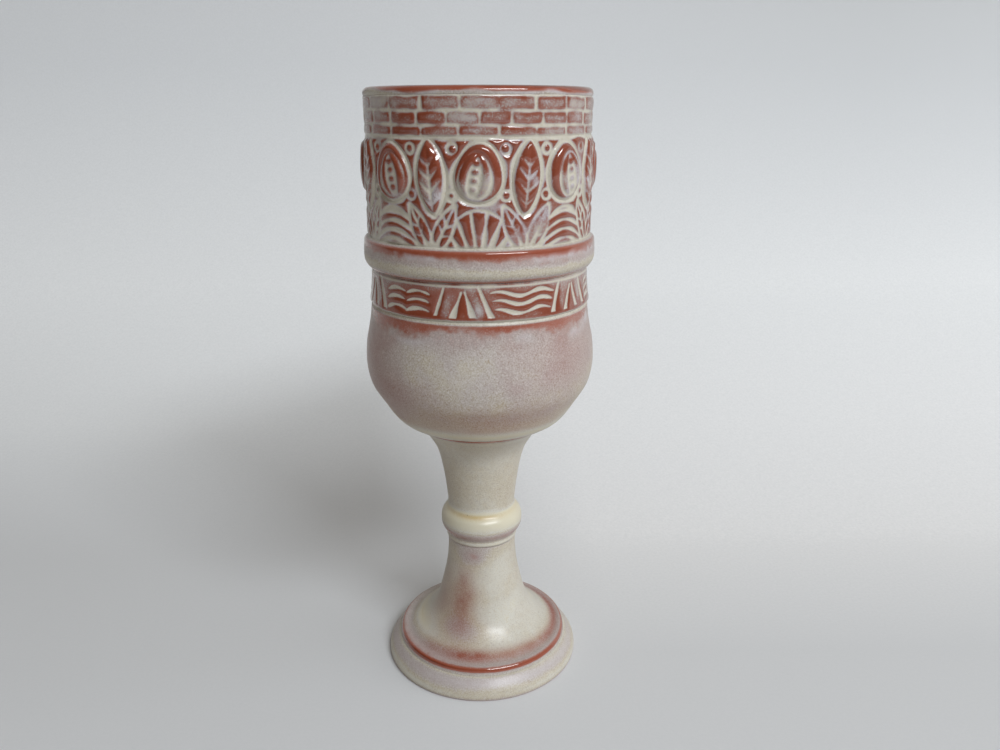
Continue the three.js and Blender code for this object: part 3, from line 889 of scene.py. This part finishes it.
def traced(points, step):
    """Run a smooth curve through outline points, and sample it at even steps."""
    points = np.array(points, dtype=float)
    chord = np.hypot(np.diff(points[:, 0]), np.diff(points[:, 1]))
    run = np.concatenate([[0.0], np.cumsum(chord)])
    at = np.linspace(0.0, run[-1], max(2, int(round(run[-1] / step)) + 1))
    slope = np.diff(points, axis=0) / chord[:, None]
    tangent = np.vstack([slope[:1], slope, slope[-1:]])
    before = np.concatenate([chord[:1], chord])
    after = np.concatenate([chord, chord[-1:]])
    tangent = (tangent[:-1] * after[:, None] + tangent[1:] * before[:, None]) / (before + after)[:, None]
    leg = np.clip(np.searchsorted(run, at, side="right") - 1, 0, len(chord) - 1)
    t = ((at - run[leg]) / chord[leg])[:, None]
    start, end, reach = points[leg], points[leg + 1], chord[leg][:, None]
    line = (
        start * (1 + 2 * t) * (1 - t) ** 2 + end * t * t * (3 - 2 * t)
        + reach * (tangent[leg] * t * (1 - t) ** 2 - tangent[leg + 1] * t * t * (1 - t))
    )
    line[:, 2] = np.interp(at, run, points[:, 2])
    return line


def turned(columns, seed, waver, *runs):
    """Join outline runs. Return angles, radii, heights, and the fields of radius and glaze."""
    lines = [traced(points, step) for points, step in runs]
    line = np.vstack([lines[0]] + [following[1:] for following in lines[1:]])
    r, up, glaze = np.hsplit(line, 3)
    radius = r + waver * mottle((len(line), columns), columns / 14.0, 24.0, seed)
    angles = np.degrees((np.arange(columns) / columns - 0.5) * TURN)[None, :]
    return angles, r, up, np.maximum(radius, 0.3), np.repeat(glaze, columns, axis=1)


def angle_hill(angles, centre, spread):
    return hill((angles - centre + 180.0) % 360.0 - 180.0, spread)


def zones(angles, level, table):
    """Return soft patches: each has a strength, an angle and its spread, and a level and its spread."""
    total = 0.0
    for strength, angle, spread, middle, reach in table:
        total = total + strength * angle_hill(angles, angle, spread) * hill(level - middle, reach)
    return total


# The cup

DRUM_START = 60.0  # a height on the drum, above all of the bowl
BOWL_TOP = 45.9
LEAST_VEIL = 0.45  # glaze left on the bowl's thinned patches
RUN_DEPTH = 0.95  # how far a run thins the glaze towards the run's own
RUN_GLAZE = 0.17
RUNS = (  # where glaze ran down below the waves: angle, spread and length
    (-60.0, 9.0, 3.0),
    (-36.0, 15.0, 3.2),
    (5.0, 12.0, 2.2),
    (50.0, 24.0, 2.9),
)
# strength, angle and spread, level and spread: a pink flush on the right, and painted shade on the left,
# partly a browner glaze
BOWL_BLUSH_AND_SHADE = ((1.2, 50.0, 32.0, 31.0, 12.0), (1.6, -68.0, 26.0, 24.0, 20.0))
# painted shade: a rust tint on the bowl's lower left
BOWL_LOW_LEFT_SHADE = ((0.16, -45.0, 26.0, 21.0, 6.0),)
BOWL_MILKY = ((0.12, -16.0, 22.0, 27.0, 11.0),)


def run_length(angles, shape):
    """Return how far down from the waves the glaze ran."""
    drip = mottle(shape, 18.0, 400.0, 52) + 0.6 * mottle(shape, 5.0, 400.0, 53)
    drip = drip + 0.3 * mottle(shape, 1.6, 8.0, 54)
    front = sum(length * angle_hill(angles, at, spread) for at, spread, length in RUNS)
    return np.maximum(1.1 + 0.35 * drip + front, 0.6)


def bowl_glaze(glaze, depth, length, blush_and_shade, outside):
    """Return the cup's glaze: clouds, thinned bowl patches, the left one painted shade, and runs below the
    waves.
    """
    shape = glaze.shape
    dabs = np.clip(0.8 + 0.3 * mottle(shape, 5.0, 3.0, 64), 0.3, 1.0)
    end = 1.0 - smooth(0.3, 1.6, depth / length + 0.13 * mottle(shape, 0.9, 0.9, 69))
    run = RUN_DEPTH * end * smooth(0.1, 0.9, depth) * dabs * outside
    pale = hill(depth - 5.5, 2.8) * (0.6 + 0.4 * mottle(shape, 9.0, 9.0, 59)) * outside
    clouds = 0.04 * mottle(shape, 12.0, 12.0, 55) + 0.03 * mottle(shape, 4.0, 4.0, 56)
    clouds = clouds * smooth(0.45, 0.55, glaze) * smooth(0.88, 0.78, glaze)
    thinned = glaze + clouds - 0.1 * blush_and_shade - 0.05 * pale
    glaze = np.maximum(thinned, np.minimum(glaze, LEAST_VEIL))
    return glaze * (1.0 - run) + RUN_GLAZE * run


def bowl_stain(angles, up, depth, length, shape):
    """Return the bowl's other stain: painted shade low on the left, pink and brown patches, and pale
    washes.
    """
    wash = hill(depth - 1.2 * length - 1.5, 1.8) * smooth(-0.4, 1.2, mottle(shape, 7.0, 3.0, 65))
    wash = wash * smooth(-58.0, -34.0, angles)
    pink = hill(depth - 7.0, 4.0) * smooth(0.2, 1.5, mottle(shape, 6.0, 4.0, 66))
    brown = hill(np.maximum(up - 12.0, 0.0), 5.2) * hill(angles, 55.0) * smooth(4.4, 7.2, up)
    milky = zones(angles, up, BOWL_MILKY) * (1.0 + 0.4 * mottle(shape, 9.0, 9.0, 67))
    # the first term is painted shade on the lower left
    return zones(angles, up, BOWL_LOW_LEFT_SHADE) + 0.1 * pink + 0.37 * brown - 0.65 * wash - milky


def cup(look):
    """The cup: the round bowl, the plain drum behind the bands, the rolled lip and the inside."""
    angles, r, up, radius, glaze = turned(
        CUP_AROUND, 51, 0.05, (CUP_BASE, 6.0), (CUP_BOWL, TURNED_STEP), (CUP_SHOULDER, 0.25),
        (CUP_DRUM, LONG_STEP), (CUP_LIP, FINE_STEP), (CUP_INSIDE, 1.2),
    )
    shape = radius.shape
    outside = (np.arange(len(up)) < np.argmax(up > DRUM_START))[:, None]
    depth = BOWL_TOP - up
    length = run_length(angles, shape)
    # painted shade on the bowl's left, beside the pink flush on its right: thinner glaze tinted towards
    # rust
    blush_and_shade = zones(angles, up, BOWL_BLUSH_AND_SHADE) * outside * (1.0 + 0.18 * mottle(shape, 10.0, 10.0, 57))
    glaze = bowl_glaze(glaze, depth, length, blush_and_shade, outside)
    stain = 0.24 * blush_and_shade + bowl_stain(angles, up, depth, length, shape) * outside
    rim = smooth(116.4, 117.2, up) * (1.0 - outside)
    ragged = smooth(0.2, 1.5, 118.4 - up + 0.7 * mottle(shape, 6.0, 30.0, 58)) * (r > 37.0)
    # the term at -62 degrees makes the lip paler on its left: thicker glaze, partly a painted reflection
    rim_glaze = 0.3 * ragged + 0.3 * angle_hill(angles, -62.0, 16.0) + 0.03 * mottle(shape, 9.0, 5.0, 60)
    glaze = np.clip(glaze + rim * rim_glaze, 0.05, np.where(outside, 1.0, THICKEST))
    stain = stain - 0.65 * rim * ragged * smooth(-0.9, 0.8, mottle(shape, 8.0, 4.0, 68))
    skin("cup", look, radius, span("cup")[0] + up, glaze, stain, closed=False)


# The stem and the foot

# strength, angle and spread, level and spread: a rust patch on the left front, and painted shade on the
# left side
PEDESTAL_PATCHES_AND_SHADE = (
    (0.64, -25.0, 18.0, 21.0, 12.0),
    (0.1, -24.0, 34.0, 10.5, 4.5),
    # painted shade on the left side
    (0.4, -66.0, 24.0, 20.0, 11.0),
)
PEDESTAL_PALE = ((0.4, -26.0, 26.0, 9.8, 4.0), (0.3, -15.0, 26.0, 38.5, 3.5))
# painted light: a paler cream on the dome's left, partly a cream patch in the glaze
PEDESTAL_CREAM_AND_LIGHT = ((0.11, -78.0, 42.0, 26.0, 3.4),)  # its level is a radius


def bore(low, high):
    return (STEM_BORE, high - low, 0.0), (STEM_BORE, 0.0, 0.0)


def upper_stem(look):
    """The hollow stem that flares to the cup."""
    low, high = span("upper_stem")
    inside = bore(low, high)
    rim = (STEM_OUTSIDE[-1], inside[0])
    runs = (STEM_OUTSIDE, TURNED_STEP), (rim, LONG_STEP), (inside, LONG_STEP)
    _, _, up, radius, glaze = turned(PLAIN_AROUND, 61, 0.05, *runs)
    quiet = smooth(0.95, 0.85, glaze)
    glaze = np.clip(glaze + 0.025 * quiet * mottle(radius.shape, 20.0, 12.0, 62), 0.0, 0.97)
    skin("upper_stem", look, radius, low + up, glaze)


def knop_ring(look):
    """The swollen ring, with a mauve ridge and a cream bead under it."""
    low, high = span("knop_ring")
    inside = bore(low, high)
    rim = (KNOP_OUTSIDE[-1], (12.0, high - low, 0.8), inside[0])
    runs = (KNOP_OUTSIDE, FINE_STEP), (rim, LONG_STEP), (inside, LONG_STEP)
    angles, _, up, radius, glaze = turned(PLAIN_AROUND, 71, 0.04, *runs)
    quiet = smooth(0.95, 0.85, glaze)
    glaze = glaze + 0.04 * quiet * mottle(radius.shape, 16.0, 6.0, 72)
    ochre = 0.25 + 0.75 * angle_hill(angles, -12.0, 42.0)
    glaze = np.clip(glaze - np.maximum(glaze - 0.95, 0.0) * (1.0 - ochre), 0.05, 0.986)
    skin("knop_ring", look, radius, low + up, glaze)


def pedestal(look):
    """The bell with its stepped edge, its soft rust ring and the lower stem."""
    low, high = span("pedestal")
    under = (PEDESTAL_BELL[-1], PEDESTAL_STEP[0])
    neck = (PEDESTAL_STEP[-1], bore(low, high)[0])
    runs = (PEDESTAL_BELL, 2.0), (under, LONG_STEP), (PEDESTAL_STEP, FINE_STEP), (neck, LONG_STEP)
    angles, r, up, radius, glaze = turned(PLAIN_AROUND, 81, 0.04, *runs)
    shape = radius.shape
    outside = (np.arange(len(r)) > np.argmax(r > 33.0))[:, None]
    right = smooth(20.0, 90.0, angles)
    ring = hill(r - 28.3 - 1.6 * right, 2.2 - 0.5 * right)
    ring = ring * (0.56 + 0.12 * angle_hill(angles, -6.0, 32.0) + 0.2 * right)
    ring = ring * smooth(-72.0, -24.0, angles) * smooth(175.0, 110.0, angles)
    ragged = outside * (1.0 + 0.14 * mottle(shape, 5.0, 8.0, 82))
    # rust patches, with painted shade on the left side
    stain = (zones(angles, up, PEDESTAL_PATCHES_AND_SHADE) + ring) * ragged
    faded = 0.08 * angle_hill(angles, -100.0, 50.0) * smooth(32.6, 33.4, r)
    # the cream zone paints light onto the dome's left
    change = 0.03 * mottle(shape, 14.0, 10.0, 83) + zones(angles, r, PEDESTAL_CREAM_AND_LIGHT) + faded
    change = change - zones(angles, up, PEDESTAL_PALE)
    glaze = np.clip(glaze + outside * change, 0.05, 0.96)
    skin("pedestal", look, radius, low + up, glaze, stain)


def foot_plate(look):
    """The round foot with its rolled brim and its bare standing ring."""
    angles, r, up, radius, glaze = turned(
        PLAIN_AROUND, 91, 0.03, (FOOT_UNDER, 2.5), (FOOT_RECESS, 2.0), (FOOT_RING, TURNED_STEP),
        (FOOT_STAND, 2.0), (FOOT_BRIM, FINE_STEP),
    )
    clouds = 0.05 * mottle(radius.shape, 10.0, 4.0, 92) * (glaze > 0.3)
    glaze = np.clip(glaze + clouds, 0.0, 0.95)
    # painted highlight: a pale, cool wash on the brim's upper bevel, strongest on the side towards the
    # window
    painted_highlight = 0.5 + 0.5 * angle_hill(angles, 25.0, 55.0)
    stain = -0.34 * painted_highlight * hill(up - 6.2, 1.3) * (r > 30.0)
    skin("foot_plate", look, radius, span("foot_plate")[0] + up, glaze, stain)


# Stage, lights and camera

FLOOR_HALF = 1.8
FLOOR_FRONT = -1.6
SWEEP_START = 0.07  # where the floor starts to curve up behind the chalice
SWEEP_RADIUS = 0.31
SWEEP_STEPS = 24
WALL_TOP = 1.5
# painted light and shade: the cloth's tone up the sweep, as the camera sees it
CLOTH_LIGHT_BY_HEIGHT = (
    (0.0, (222, 224, 227)), (0.08, (238, 240, 242)), (0.3, (244, 246, 248)), (0.8, (228, 231, 235)),
)
CLOTH_PAINTED_LIGHT = srgb(250, 251, 253)
CLOTH_PAINTED_SHADE = srgb(208, 211, 214)
CLOTH_PILE = srgb(214, 217, 220)
FLOOR_BOUNCE = srgb(205, 201, 196)  # the cloth as it lights the chalice
WALL_BOUNCE = srgb(154, 146, 135)
MIRRORED_ROOM = 0.6  # how much of the cloth's pale tone the glaze mirrors
LAMP_AIM = Vector((0.0, 0.0, 0.12))
ROOM_LEFT = (0.041, 0.034, 0.025, 1.0)
ROOM_RIGHT = (0.15, 0.148, 0.144, 1.0)
ROOM_SEEN = (0.7, 0.71, 0.72, 1.0)  # what the camera sees beyond the backdrop
CAMERA_PLACE = (0.0, -297.7, 214.5)
CAMERA_PITCH = 17.94
CAMERA_YAW = 1.43
CAMERA_LENS = 29.62
CAMERA_SENSOR = 36.0


def cloth_material():
    """Pale cloth with painted light and shade. The camera sees it light, and the chalice is lit by a
    warmer, dimmer tone.
    """
    material, tree = new_material("pale_cloth")
    place = object_place(tree)
    x, y, height = add_node(tree, "SeparateXYZ", {"Vector": place}).outputs
    tones = ramp(remap(height, 0.0, SWEEP_RADIUS, 0.0, 1.0), CLOTH_LIGHT_BY_HEIGHT)
    beside = remap(x, -0.02, 0.06, 0.0, 1.0)
    near_floor = remap(height, 0.0, 0.08, 1.0, 0.0)
    behind = remap(y, -0.01, 0.09, 0.0, 1.0)
    # painted light beside the chalice, on its right
    tones = mixed(times(beside, near_floor, behind), tones, CLOTH_PAINTED_LIGHT)
    right = remap(x, 0.0, 0.3, 0.0, 0.8)
    above = times(right, remap(height, 0.1, 0.3, 0.0, 1.0))
    # painted shade high on the right of the wall
    tones = mixed(above, tones, CLOTH_PAINTED_SHADE)
    pile = remap(noise(place, 1.3, 3.0), -0.2, 0.2, 0.0, 0.3)
    colour = mixed(pile, tones, CLOTH_PILE)
    path = add_node(tree, "LightPath", {}).outputs
    seen = maths("MAXIMUM", path["Is Camera Ray"], times(path["Is Glossy Ray"], MIRRORED_ROOM))
    wall = remap(height, 0.0, SWEEP_RADIUS / 3, 0.0, 1.0)
    bounce = mixed(wall, FLOOR_BOUNCE, WALL_BOUNCE)
    end_material(tree, {"Base Color": mixed(seen, bounce, colour), "Roughness": 0.95})
    return material


def stage():
    """A plain pale floor that sweeps up into a backdrop."""
    rows = [(FLOOR_FRONT, 0.0), (SWEEP_START, 0.0)]
    for step in range(1, SWEEP_STEPS + 1):
        turn = math.pi / 2 * step / SWEEP_STEPS
        rows.append((SWEEP_START + SWEEP_RADIUS * math.sin(turn), SWEEP_RADIUS * (1.0 - math.cos(turn))))
    rows.append((SWEEP_START + SWEEP_RADIUS, WALL_TOP))
    points = [(side * FLOOR_HALF, y, z) for y, z in rows for side in (-1, 1)]
    faces = [(2 * row, 2 * row + 1, 2 * row + 3, 2 * row + 2) for row in range(len(rows) - 1)]
    mesh = bpy.data.meshes.new("floor")
    mesh.from_pydata(points, [], faces)
    mesh.polygons.foreach_set("use_smooth", [True] * len(faces))
    mesh.materials.append(cloth_material())
    floor = bpy.data.objects.new("floor", mesh)
    bpy.context.scene.collection.objects.link(floor)


def lamp(name, azimuth, elevation, distance, width, height, power, colour, in_reflections):
    """Aim a soft area lamp at the chalice. Azimuth 0 is the viewer's side and grows to the right."""
    data = bpy.data.lights.new(name, "AREA")
    data.shape = "RECTANGLE"
    data.size, data.size_y = width, height
    data.energy = power
    data.color = colour
    light = bpy.data.objects.new(name, data)
    turn, rise = math.radians(azimuth), math.radians(elevation)
    away = Vector((math.sin(turn) * math.cos(rise), -math.cos(turn) * math.cos(rise), math.sin(rise)))
    light.location = LAMP_AIM + distance * away
    light.rotation_euler = away.to_track_quat("Z", "Y").to_euler()
    light.visible_glossy = in_reflections
    bpy.context.scene.collection.objects.link(light)


def room():
    """A dim room, darker on the left and brighter above."""
    world = bpy.data.worlds.new("room")
    world.use_nodes = True
    tree = world.node_tree
    direction = add_node(tree, "TexCoord", {}).outputs["Generated"]
    parts = add_node(tree, "SeparateXYZ", {"Vector": direction}).outputs
    colour = mixed(remap(parts["X"], -1.0, 1.0, 0.0, 1.0), ROOM_LEFT, ROOM_RIGHT)
    above = remap(parts["Z"], 0.0, 1.0, 1.0, 3.0)
    seen = add_node(tree, "LightPath", {}).outputs["Is Camera Ray"]
    strength = add_node(tree, "Mix", {0: seen, 2: above, 3: 1.0}, data_type="FLOAT").outputs[0]
    background = tree.nodes["Background"].inputs
    tree.links.new(mixed(seen, colour, ROOM_SEEN), background["Color"])
    tree.links.new(strength, background["Strength"])
    bpy.context.scene.world = world


def camera():
    data = bpy.data.cameras.new("camera")
    data.sensor_width = CAMERA_SENSOR
    data.lens = CAMERA_LENS
    data.clip_start = 0.01
    eye = bpy.data.objects.new("camera", data)
    eye.location = Vector(CAMERA_PLACE) * MM
    eye.rotation_euler = (math.radians(90.0 - CAMERA_PITCH), 0.0, math.radians(-CAMERA_YAW))
    bpy.context.scene.collection.objects.link(eye)
    bpy.context.scene.camera = eye


bpy.context.scene.view_settings.view_transform = "Standard"
camera()
lamp("window", 30.0, 41.0, 2.4, 1.5, 0.5, 37.5, (0.935, 0.972, 1.0), True)
lamp("right_wall", 80.0, 14.0, 2.0, 2.0, 1.6, 13.0, (0.975, 0.987, 1.0), False)
room()
stage()

cream = glaze_look("cream_glaze_look", "cream_glaze", 0.5, 0.6, 0.45, (0.0, 0.0), (0.1, 0.38), (1.0, 0.05))
plain = glaze_look("plain_glaze_look", "cream_glaze", 0.45, 0.5, 0.42, (0.0, 0.0), (0.1, 0.37), (1.0, 0.0))
# the relief's shade pair paints shade into its thin glaze
relief = glaze_look(
    "relief_glaze_look", "relief_glaze", 0.5, 0.6, 1.5, (0.26, 0.02), (0.12, 0.26), (1.0, 0.3),
)
bare_clay = clay_material()
cup(cream)
upper_stem(plain)
knop_ring(plain)
pedestal(plain)
foot_plate(plain)
wave_band(relief)
collar_ring(cream)
frieze(relief)
brick_band(relief)
for node in ("slip_bed_foot", "slip_bed_knop", "slip_bed_stem", "slip_bed_cup", "slip_coat_drum"):
    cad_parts[node].material_slots[0].material = bare_clay
